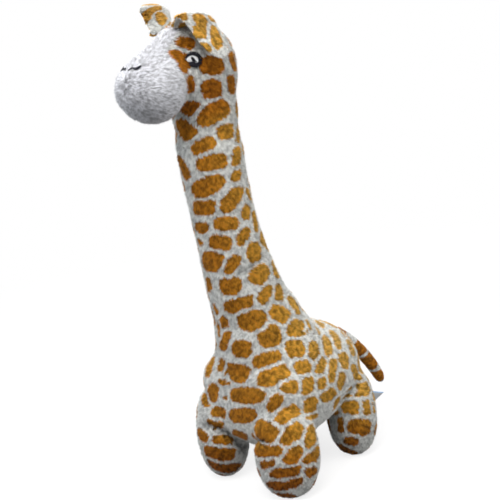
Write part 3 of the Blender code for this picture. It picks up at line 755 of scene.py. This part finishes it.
def grow_pile(skin, name, tree, seed, **settings):
    """The standing pile of one skin, as a mesh of hairs whose shading follows the skin."""
    pile = add_object(name, skin.data.copy())
    step = pile.modifiers.new("pile", "NODES")
    step.node_group = tree
    names = {item.name: item.identifier for item in tree.interface.items_tree if item.in_out == "INPUT"}
    for key, value in settings.items():
        step[names[key]] = float(value)
    step[names["Seed"]] = seed
    settle(pile)
    mesh = pile.data
    for extra in ("grow", "lay", "mask", "spot_tone", "ground_tone", "cover", "open", "across"):
        if extra in mesh.attributes:
            mesh.attributes.remove(mesh.attributes[extra])
    return pile


# Materials

def colour_nodes():
    """A group that turns a hair's tone, shade and place along it into its colour."""
    tree, given = new_group(
        "pile colour", "ShaderNodeTree",
        (("Tone", "Float"), ("Shade", "Float"), ("Along", "Float")), (("Color", "Color"),),
    )
    colour = colour_ramp(tree, PILE_COLOURS, given["Tone"])
    darkest = colour_ramp(tree, [(at, (level,) * 3) for at, level in PILE_DARKEST], given["Tone"])
    light = range_node(tree, given["Shade"], end=(darkest, PILE_LIGHTEST), clamp=False)
    light = maths_node(tree, "MAXIMUM", light, PILE_BLACK)
    # Painted shade at the roots, fading out up each hair
    root = range_node(tree, given["Along"], start=(0, ROOT_END), end=(ROOT_LIGHT, 1.0))
    light = maths_node(tree, "MULTIPLY", light, root)
    lit = add_node(tree, "ShaderNodeVectorMath", {0: colour, "Scale": light}, operation="SCALE")
    add_node(tree, "NodeGroupOutput", {"Color": lit.outputs[0]})
    return tree


def plain_material(name, roughness=0.9, sheen=0.0, shine=0.25):
    made = bpy.data.materials.new(name)
    made.use_nodes = True
    shader = made.node_tree.nodes["Principled BSDF"]
    shader.inputs["Roughness"].default_value = roughness
    shader.inputs["Specular IOR Level"].default_value = shine
    shader.inputs["Sheen Weight"].default_value = sheen
    shader.inputs["Sheen Roughness"].default_value = 0.5
    return made, made.node_tree, shader


def attribute_node(tree, name):
    return add_node(tree, "ShaderNodeAttribute", attribute_name=name).outputs["Fac"]


def bumped(tree, shader, height, distance):
    bump = add_node(tree, "ShaderNodeBump", {"Distance": distance, "Height": height})
    tree.links.new(bump.outputs["Normal"], shader.inputs["Normal"])


def hair_material(group):
    made, tree, shader = plain_material("standing pile", sheen=0.06, shine=0.12)
    inputs = {name.title(): attribute_node(tree, name) for name in ("tone", "shade", "along")}
    colour = add_node(tree, "ShaderNodeGroup", inputs, node_tree=group)
    tree.links.new(colour.outputs["Color"], shader.inputs["Base Color"])
    return made


def cloth_material(group):
    """The cloth between the roots of the pile, with painted shade that makes it darker than the pile."""
    made, tree, shader = plain_material("backing cloth")
    where = add_node(tree, "ShaderNodeTexCoord").outputs["Object"]
    grain = add_node(tree, "ShaderNodeTexNoise", {"Vector": where, "Scale": 900}).outputs["Fac"]
    # Painted shade: the cloth takes the darkened colour of the hairs' roots
    inputs = {"Tone": attribute_node(tree, "tone"), "Shade": grain, "Along": 0.1}
    colour = add_node(tree, "ShaderNodeGroup", inputs, node_tree=group)
    tree.links.new(colour.outputs["Color"], shader.inputs["Base Color"])
    bumped(tree, shader, grain, 0.4 * MM)
    return made


def twist_nodes():
    """A group that gives a thread the bumps of its plies, with painted light on their turns and painted
    shade between them.
    """
    tree, given = new_group(
        "thread twist", "ShaderNodeTree",
        (("Thread", "Vector"), ("Dark", "Color"), ("Light", "Color")),
        (("Color", "Color"), ("Height", "Float")),
    )
    inputs = {"Vector": given["Thread"], "Scale": 2.2, "Distortion": 0.6}
    plies = add_node(tree, "ShaderNodeTexWave", inputs, bands_direction="DIAGONAL").outputs["Fac"]
    colour = colour_mix(tree, plies, given["Dark"], given["Light"])
    add_node(tree, "NodeGroupOutput", {"Color": colour, "Height": plies})
    return tree


def thread_material(name, group, dark, light):
    made, tree, shader = plain_material(name, roughness=0.5)
    where = add_node(tree, "ShaderNodeUVMap", uv_map="thread").outputs["UV"]
    inputs = {"Thread": where, "Dark": (*dark, 1), "Light": (*light, 1)}
    plies = add_node(tree, "ShaderNodeGroup", inputs, node_tree=group)
    tree.links.new(plies.outputs["Color"], shader.inputs["Base Color"])
    bumped(tree, shader, plies.outputs["Height"], 0.1 * MM)
    return made


def ribbon_material():
    """Satin ribbon: a fine weave, and a blue thread along each selvedge."""
    made, tree, shader = plain_material("label ribbon", roughness=0.38, sheen=0.2, shine=0.5)
    where = add_node(tree, "ShaderNodeUVMap", uv_map="ribbon").outputs["UV"]
    yarns = []
    for direction, scale in (("X", 60), ("Y", 18)):
        inputs = {"Vector": where, "Scale": scale, "Distortion": 0.4}
        wave = add_node(tree, "ShaderNodeTexWave", inputs, bands_direction=direction)
        yarns.append(wave.outputs["Fac"])
    height = maths_node(tree, "ADD", *yarns)
    across = add_node(tree, "ShaderNodeSeparateXYZ", {0: where}).outputs["Y"]
    off_middle = maths_node(tree, "ABSOLUTE", maths_node(tree, "SUBTRACT", across, 0.5))
    # The weave is lighter on its raised yarns and darker between them, as painted light and shade
    weave = colour_mix(tree, height, (0.80, 0.87, 0.97, 1), (0.90, 0.94, 0.99, 1))
    selvedge = range_node(tree, off_middle, start=(0.44, 0.48))
    colour = colour_mix(tree, selvedge, weave, (0.42, 0.62, 0.90, 1))
    tree.links.new(colour, shader.inputs["Base Color"])
    bumped(tree, shader, height, 0.05 * MM)
    return made


def dress(thing, material):
    thing.data.materials.clear()
    thing.data.materials.append(material)


# Skins of the body

def at_nape(place):
    """Where the hood's cloth runs into the neck's without a step."""
    return 0.248 < place.z < 0.290 and place.y > -0.078 + (0.290 - place.z)


def make_whole_skin():
    skin = remeshed(copied_solids("whole_skin", COAT_NODES), VOXEL)
    smooth(skin, 3)
    smooth(skin, 16, chosen=at_nape)
    mark_parts(skin)
    stuffed(skin, SKIN_RISE)
    smooth(skin, 2)
    return subdivided(skin)


def surface_of(thing):
    depsgraph = bpy.context.evaluated_depsgraph_get()
    depsgraph.update()
    return BVHTree.FromObject(thing, depsgraph)


def on_skin(x, y):
    """The place and the normal of the body's cloth at a place in the photograph."""
    place, normal, _, _ = surface.ray_cast(EYE_POINT, sight_line(x, y))
    return place, normal


def line_distance(points, line):
    """The distance from each point to a line of places."""
    best = np.full(len(points), np.inf)
    for a, b in zip(line[:-1], line[1:]):
        a, b = np.array(a), np.array(b)
        run = b - a
        share = np.clip(((points - a) @ run) / (run @ run), 0, 1)
        best = np.minimum(best, np.linalg.norm(points - a - share[:, None] * run, axis=1))
    return best


def crease(skin):
    """Draws the skin in along its creases, and gives each place a share of light that paints shade into
    its pile: darker in the creases and towards the floor.
    """
    surface = surface_of(skin)
    points, outward = places(skin.data), normals(skin.data)
    # Painted shade: the pile gets darker towards the floor
    painted_lit_share = 1 - 0.22 * np.clip(1 - points[:, 2] / FOOT_HEIGHT, 0, 1)
    sunk = np.zeros(len(points))
    for line, depth, wide in CREASES:
        hits = [surface.ray_cast(EYE_POINT, sight_line(x, y))[0] for x, y in line]
        hits = [place for place in hits if place is not None]
        for mirror in (1, -1):
            shown = [Vector((place.x * mirror, place.y, place.z)) for place in hits]
            near = np.exp(-((line_distance(points, shown) / wide) ** 2))
            sunk = np.maximum(sunk, depth * near)
            # Painted shade along the crease
            painted_lit_share = np.minimum(painted_lit_share, 1 - 0.16 * near * depth / MM)
    for place, height, wide in SWELLS:
        middle, _ = shown_at(surface, *place)
        shown = np.minimum(*[
            np.linalg.norm(points * (mirror, 1, 1) - np.array(middle), axis=1) for mirror in (1, -1)
        ])
        sunk -= height * np.exp(-((shown / wide) ** 2))
    moved = points - outward * sunk[:, None]
    moved[:, 2] = np.maximum(moved[:, 2], SOLE_HEIGHT)
    put_places(skin.data, moved)
    write(skin.data, "open", painted_lit_share)


def lay_of(points, outward, face):
    """The way the pile is brushed: down the body, and back along the muzzle."""
    down = np.tile([0.0, 0.30, -1.0], (len(points), 1))
    apart = 0.5 * np.clip(points[:, 0] / (20 * MM), -1, 1)
    along = np.column_stack([apart, np.ones(len(points)), np.full(len(points), -0.35)])
    down = np.where(face[:, None], along, down)
    flat = down - outward * (down * outward).sum(1)[:, None]
    return unit(flat)


def bare_share(points):
    """0 where embroidery lies, because no pile stands there, and 1 elsewhere."""
    eye = on_skin(*EYE_PLACE)[0]
    nostril = [on_skin(x, y)[0] for x, y, _ in NOSTRIL_LINE]
    share = np.ones(len(points))
    for side in (1, -1):
        shown = points * (side, 1, 1)
        for away, radius in (
            (np.linalg.norm(shown - np.array(eye), axis=1), EYE_BARE),
            (line_distance(shown, nostril), NOSTRIL_BARE),
        ):
            share *= np.clip((away - radius) / (0.6 * MM), 0, 1)
    return share


def mark_pile(mesh, spots, face=None, gold=None):
    points, outward = places(mesh), normals(mesh)
    face = np.zeros(len(points), bool) if face is None else face
    lay = lay_of(points, outward, face)
    ground = np.where(face, FACE_TONE, GROUND_TONE)
    mask = mask_of(points + lay * PILE_DRAG, outward, spots) * ~face
    depth = spot_depth_and_shade(points, outward) if gold is None else np.full(len(points), gold)
    cover = bare_share(points)
    write(mesh, "mask", mask)
    write(mesh, "spot_tone", depth)
    write(mesh, "ground_tone", ground)
    write(mesh, "tone", np.where(mask > 0.5, depth, ground))
    write(mesh, "lay", lay)
    write(mesh, "cover", cover)
    if "open" not in mesh.attributes:
        write(mesh, "open", np.ones(len(points)))


def mark_parts(skin):
    """Numbers each face of the skin by the cover that lies nearest to it."""
    trees = []
    for node in COVERS:
        mesh = frame["nodes"][node].data
        verts = [v.co.copy() for v in mesh.vertices]
        trees.append(BVHTree.FromPolygons(verts, [tuple(p.vertices) for p in mesh.polygons]))
    found = []
    for polygon in skin.data.polygons:
        gaps = [tree.find_nearest(polygon.center)[3] for tree in trees]
        part = gaps.index(min(gaps))
        if COVERS[part] == "neck_cover" and polygon.center.z > NECK_SPLIT_HEIGHT:
            part = len(COVERS)
        found.append(part)
    skin.data.attributes.new("part", "INT", "FACE").data.foreach_set("value", found)


def inside(x, y, outline):
    """Which places lie inside an outline in the picture."""
    found = np.zeros(len(x), bool)
    for (ax, ay), (bx, by) in zip(outline, outline[1:] + outline[:1]):
        crosses = (ay > y) != (by > y)
        at = ax + (y - ay) * (bx - ax) / (by - ay if by != ay else 1)
        found ^= crosses & (x < at)
    return found


def on_face(points):
    """Which points lie on the white face: left of its seam in the picture, on either side."""
    mirrored = points * (1, 1, 1)
    mirrored[:, 0] = np.abs(mirrored[:, 0])
    x, y = in_picture(mirrored)
    outline = list(FACE_SEAM)
    outline += [(FACE_SEAM_LEFT, FACE_SEAM[-1][1]), (FACE_SEAM_LEFT, FACE_SEAM[0][1])]
    return inside(x, y, outline)


def cut_region(skin, number, name):
    """The part of the skin that has the given number, as a piece of its own."""
    bm = bmesh.new()
    bm.from_mesh(skin.data)
    part = bm.faces.layers.int["part"]
    others = [face for face in bm.faces if face[part] != number]
    bmesh.ops.delete(bm, geom=others, context="FACES")
    return from_bmesh(name, bm)


# Studio

def for_camera(tree, others, camera):
    """One light for what the camera sees itself, and another for all other rays."""
    seen = add_node(tree, "ShaderNodeLightPath").outputs["Is Camera Ray"]
    return light_mix(tree, seen, others, camera)


def make_floor():
    """A pale floor that shows the toy's shadow near it and fades to white further out."""
    bm = bmesh.new()
    bmesh.ops.create_grid(bm, x_segments=1, y_segments=1, size=FLOOR_SIZE)
    floor = from_bmesh("floor", bm)
    made = bpy.data.materials.new("pale floor")
    made.use_nodes = True
    tree = made.node_tree
    tree.nodes.clear()
    grey = (FLOOR_GREY, FLOOR_GREY, FLOOR_GREY, 1)
    plain = add_node(tree, "ShaderNodeBsdfDiffuse", {"Color": grey}).outputs[0]
    pale = add_node(tree, "ShaderNodeBsdfDiffuse", {"Color": (1, 1, 1, 1)}).outputs[0]
    white = add_node(tree, "ShaderNodeEmission", {"Color": (1, 1, 1, 1)}).outputs[0]
    where = add_node(tree, "ShaderNodeTexCoord").outputs["Object"]
    away = add_node(tree, "ShaderNodeVectorMath", {0: where}, operation="LENGTH")
    share = range_node(tree, away.outputs["Value"], start=SHADOW_FADE, end=FLOOR_GLOW)
    shown = light_mix(tree, share, pale, white)
    add_node(tree, "ShaderNodeOutputMaterial", {"Surface": for_camera(tree, plain, shown)})
    dress(floor, made)


def make_world():
    world = bpy.data.worlds.new("studio")
    world.use_nodes = True
    bpy.context.scene.world = world
    tree = world.node_tree
    sky = tree.nodes["Background"]
    sky.inputs["Strength"].default_value = SKY_STRENGTH
    sky.inputs["Color"].default_value = (0.93, 0.96, 1.0, 1)
    shown = add_node(tree, "ShaderNodeBackground", {"Color": (1, 1, 1, 1)})
    light = for_camera(tree, sky.outputs[0], shown.outputs[0])
    tree.links.new(light, tree.nodes["World Output"].inputs["Surface"])


def make_lamps():
    for name, place, side, power, colour in LAMPS:
        data = bpy.data.lights.new(name, "AREA")
        data.size = side
        data.energy = power
        data.color = colour
        lamp = add_object(name, data)
        aim = LAMP_TARGET - Vector(place)
        lamp.rotation_mode = "QUATERNION"
        lamp.rotation_quaternion = aim.to_track_quat("-Z", "Y")
        lamp.location = place


bpy.context.scene.view_settings.view_transform = "Standard"
make_camera()
make_floor()
make_world()
make_lamps()

colours = colour_nodes()
PILE = hair_material(colours)
CLOTH = cloth_material(colours)
hair_tree = pile_nodes(one_hair())

whole = make_whole_skin()
crease(whole)
surface = surface_of(whole)
seen_spots = spot_table(surface, HEAD_SPOTS + NECK_SPOTS + TORSO_SPOTS + LEG_SPOTS)
all_points, all_normals = places(whole.data), normals(whole.data)
face_points = on_face(all_points)
all_spots = seen_spots + more_spots(surface, all_points, all_normals, seen_spots, face_points, 7)
mark_pile(whole.data, all_spots, face_points)


def carry(thing, way):
    if way == "neck":
        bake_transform(thing)
    elif way == "head_blend":
        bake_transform(thing)
    else:
        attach(thing, way)


def finish_piece(skin, piles, way):
    dress(skin, CLOTH)
    for pile in piles:
        dress(pile, PILE)
    for thing in (skin, *piles):
        carry(thing, way)


def grown_by_side(skin, name, seed, brushed):
    """The pile of a large skin in two pieces, of its left and its right side."""
    found = []
    x = places(skin.data)[:, 0]
    cover = read(skin.data, "cover")
    for side, keep in (("right", x < 0), ("left", x >= 0)):
        write(skin.data, "cover", cover * keep)
        found.append(grow_pile(skin, f"{name}_pile_{side}", hair_tree, seed, **brushed))
        seed += 50
    return found


# Piece name, the nodes that it replaces, and how it is carried
SKINS = (
    ("torso", ("torso_cover", "torso_filling"), "neck"),
    ("leg_front_left", ("leg_cover_front_left",), "body"),
    ("leg_front_right", ("leg_cover_front_right",), "body"),
    ("leg_rear_left", ("leg_cover_rear_left",), "body"),
    ("leg_rear_right", ("leg_cover_rear_right",), "body"),
    ("neck_lower", ("neck_cover", "neck_filling"), "neck"),
    ("head", ("head_cover", "head_filling"), "head_blend"),
    ("face", ("face_panel",), "head"),
    ("neck_upper", (), "head_blend"),
)

for number, (name, nodes, way) in enumerate(SKINS):
    skin = cut_region(whole, number, name + "_coat")
    brushed = FACE_PILE if name == "face" else COAT_PILE
    if name == "torso":
        piles = grown_by_side(skin, name, number, brushed)
    else:
        piles = [grow_pile(skin, name + "_pile", hair_tree, number, **brushed)]
    finish_piece(skin, piles, way)
    if nodes:
        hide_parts(*nodes)
bpy.data.objects.remove(whole)


def draw_out(skin):
    """Draws the folded ear's free end down beside the cheek, as far as it shows in the photograph."""
    points = places(skin.data)
    x, y = in_picture(points)
    share = np.clip((x - EAR_DRAW_FROM[0] + y - EAR_DRAW_FROM[1]) / EAR_DRAW_OVER, 0, 1) ** 2
    way = np.array((RIGHT * EAR_DRAWN[0] - UPWARD * EAR_DRAWN[1]) * DISTANCE / FOCAL)
    way += np.array(BACKWARD) * 1.5 * MM
    put_places(skin.data, points + share[:, None] * way)


def trim_skin(node, table, inset, wrap, gold, seed):
    skin = remeshed(copied_solids(node + "_coat", (node,)), FINE_VOXEL)
    smooth(skin, 2)
    if node == "ear_left":
        draw_out(skin)
    put_places(skin.data, places(skin.data) - normals(skin.data) * inset)
    subdivided(skin)
    near = surface_of(skin)
    spots = spot_table(near, table, wrap=True)
    if not wrap:
        points = places(skin.data)
        barred = np.zeros(len(points), bool)
        spots += more_spots(near, points, normals(skin.data), spots, barred, seed)
    mark_pile(skin.data, spots, gold=gold)
    piles = [grow_pile(skin, node + "_pile", hair_tree, seed, **TRIM_PILE)]
    finish_piece(skin, piles, node)
    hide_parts(node)


trim_skin("ear_left", NEAR_EAR_SPOTS, 0.7 * MM, False, 0.52, 31)
trim_skin("ear_right", FAR_EAR_SPOTS, 0.7 * MM, False, 0.50, 32)
trim_skin("tail", TAIL_SPOTS, 0.3 * MM, True, 0.74, 41)

# Embroidery and label

def eye_stitches():
    """The black and the white stitches of the left eye, as pairs of places in the photograph."""
    rng = np.random.default_rng(11)
    angles, starts, ends = np.array(EYE_RING).T
    x, y = EYE_PLACE

    def at(angle, reach):
        turned = math.radians(angle)
        return x + reach * math.cos(turned), y + reach * math.sin(turned)

    black = []
    for angle in np.linspace(angles[0], angles[-1], EYE_STITCHES):
        angle += rng.uniform(-1.4, 1.4)
        start = np.interp(angle, angles, starts) + rng.uniform(-0.35, 0.2)
        end = np.interp(angle, angles, ends) + rng.uniform(-0.5, 0.35)
        black.append((at(angle, start), at(angle + rng.uniform(-4, 4), end)))
    (ax, ay), (bx, by) = PUPIL_LINE
    for side in (-0.75, -0.25, 0.25, 0.75):
        taper = 0.8 * abs(side)
        black.append(((ax - side + taper, ay + side * 0.8 + taper), (bx - side * 1.5, by + side)))
    inner = [at(angle, reach + 0.5) for angle, reach, _ in EYE_RING] + [at(*EYE_OPENING)]
    white = []
    for column in np.arange(x - 8, x + 8, STITCH_STEP):
        rows = np.arange(y - 8, y + 8, 0.2)
        within = rows[inside(np.full(len(rows), column), rows, inner)]
        if len(within) > 3:
            white.append(((column - 0.3, within[0]), (column + 0.3, within[-1])))
    return black, white


def nostril_stitches():
    rng = np.random.default_rng(12)
    found = []
    for (ax, ay, a_long), (bx, by, b_long) in zip(NOSTRIL_LINE[:-1], NOSTRIL_LINE[1:]):
        steps = max(round(math.hypot(bx - ax, by - ay) / STITCH_STEP), 1)
        for share in np.arange(steps) / steps:
            x, y = ax + (bx - ax) * share, ay + (by - ay) * share
            half = (a_long + (b_long - a_long) * share) / 2 + rng.uniform(-0.1, 0.15)
            found.append(((x - 0.35 * half, y - half), (x + 0.35 * half, y + half)))
    return found


def embroider(name, pairs, side, rise, material, node):
    """Lays a thread for each stitch on the cloth; a side of -1 mirrors them to the giraffe's right."""
    bm = bmesh.new()
    bm.loops.layers.uv.new("thread")
    across = Vector((side, 1, 1))
    for pair in pairs:
        (a, a_normal), (b, b_normal) = [on_skin(*place) for place in pair]
        a, b, outward = a * across, b * across, ((a_normal + b_normal) / 2).normalized() * across
        along = b - a
        long = along.length + THREAD * 0.6
        along.normalize()
        wide = outward.cross(along).normalized()
        high = along.cross(wide)
        lie = Matrix((wide * THREAD, high * THREAD, along * long)).transposed().to_4x4()
        middle = (a + b) / 2 + outward * rise
        bmesh.ops.create_uvsphere(
            bm, u_segments=6, v_segments=4, radius=0.5, matrix=Matrix.Translation(middle) @ lie,
            calc_uvs=True,
        )
    made = from_bmesh(name, bm)
    dress(made, material)
    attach(made, "head")
    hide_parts(node)


twist = twist_nodes()
# Each thread's colour between its plies, as painted shade, and on them, as painted light
BLACK_THREAD = thread_material("black thread", twist, (0.003, 0.003, 0.006), (0.016, 0.016, 0.028))
WHITE_THREAD = thread_material("white thread", twist, (0.62, 0.64, 0.68), (0.86, 0.87, 0.88))
black_pairs, white_pairs = eye_stitches()
for side, which in ((1, "left"), (-1, "right")):
    embroider(
        f"eye_{which}_white_stitches", white_pairs, side, STITCH_RISE, WHITE_THREAD,
        "eye_white_" + which,
    )
    embroider(
        f"eye_{which}_black_stitches", black_pairs, side, STITCH_RISE + 0.3 * MM, BLACK_THREAD,
        "eye_black_" + which,
    )
    embroider(
        f"nostril_{which}_stitches", nostril_stitches(), side, STITCH_RISE, BLACK_THREAD,
        "nostril_" + which,
    )


def make_label():
    """A blank satin ribbon, folded in the middle, with both ends in the leg's seam."""
    joints = frame["record"]["behaviour"]["joints"]
    root = Vector(next(joint["pos_m"] for joint in joints if joint["name"] == "label_flap"))
    run = LABEL_RUN.normalized()
    wide = (LABEL_ACROSS - run * LABEL_ACROSS.dot(run)).normalized()
    high = run.cross(wide)
    bm = bmesh.new()
    bm.loops.layers.uv.new("ribbon")
    bmesh.ops.create_grid(bm, x_segments=48, y_segments=8, size=0.5, calc_uvs=True)
    for vert in bm.verts:
        along = 2 * vert.co.x  # from one sewn end, through 0 at the fold, to the other
        reach = LABEL_LENGTH * (1 - abs(along))
        share = reach / LABEL_LENGTH
        gap = LABEL_LOOP * (0.25 + math.sin(math.pi * share) * 0.9 + 0.35 * share)
        gap *= math.sqrt(min((1 - share) / 0.04, 1)) * (0.8 + 0.5 * vert.co.y)
        curl = 1.3 * MM * math.sin(2.4 * share) * (0.4 + vert.co.y) + 0.5 * MM * math.sin(7 * share)
        lift = math.copysign(gap / 2, along) + curl
        vert.co = root + run * reach + wide * LABEL_WIDTH * (vert.co.y + 0.5) + high * lift
    label = from_bmesh("label_loop", bm)
    wall = label.modifiers.new("ribbon", "SOLIDIFY")
    wall.thickness = RIBBON
    wall.offset = 0
    settle(label)
    dress(label, ribbon_material())
    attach(label, "label")
    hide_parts("label")


make_label()
